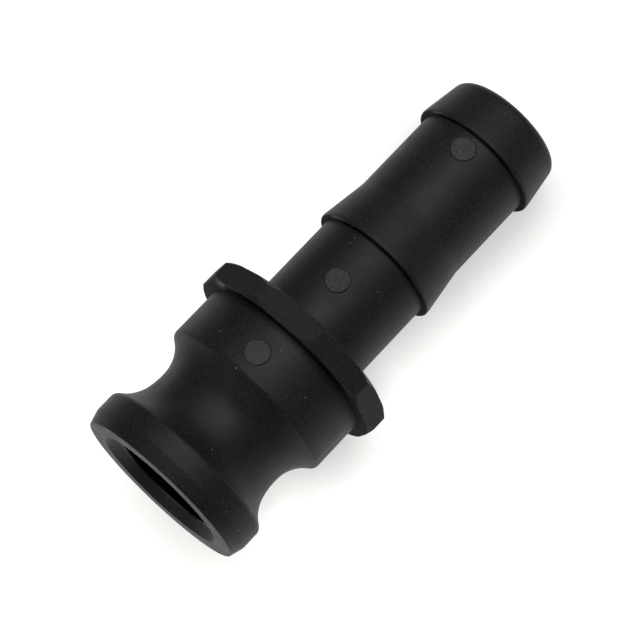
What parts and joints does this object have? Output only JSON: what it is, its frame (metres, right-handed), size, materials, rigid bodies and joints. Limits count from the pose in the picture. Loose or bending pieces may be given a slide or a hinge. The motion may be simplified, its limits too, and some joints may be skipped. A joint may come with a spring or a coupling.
{
  "type": "cam-and-groove male adapter with hose shank",
  "caption": "Cam-and-groove male adapter with a barbed hose shank, moulded in one piece of black plastic: a grooved nose for the coupler, a wrench collar and a barbed tail.",
  "frame": {"origin": "centre of the nose's sealing face, on the axis of the waterway", "axes": "+X along the waterway from the nose to the hose tail, +Z to the side with the ejector-pin marks, where a flat of the collar is centred, +Y by the right-hand rule; the mould's parting plane is XY"},
  "size_m": [0.0969, 0.0428, 0.0408],
  "materials": {
    "black_polypropylene": "injection-moulded glass-filled polypropylene, black, satin, with a faint flow grain, a few fine light specks and matt ejector-pin marks"
  },
  "bodies": {
    "root": {"adapter_body": "black_polypropylene"}
  },
  "joints": []
}
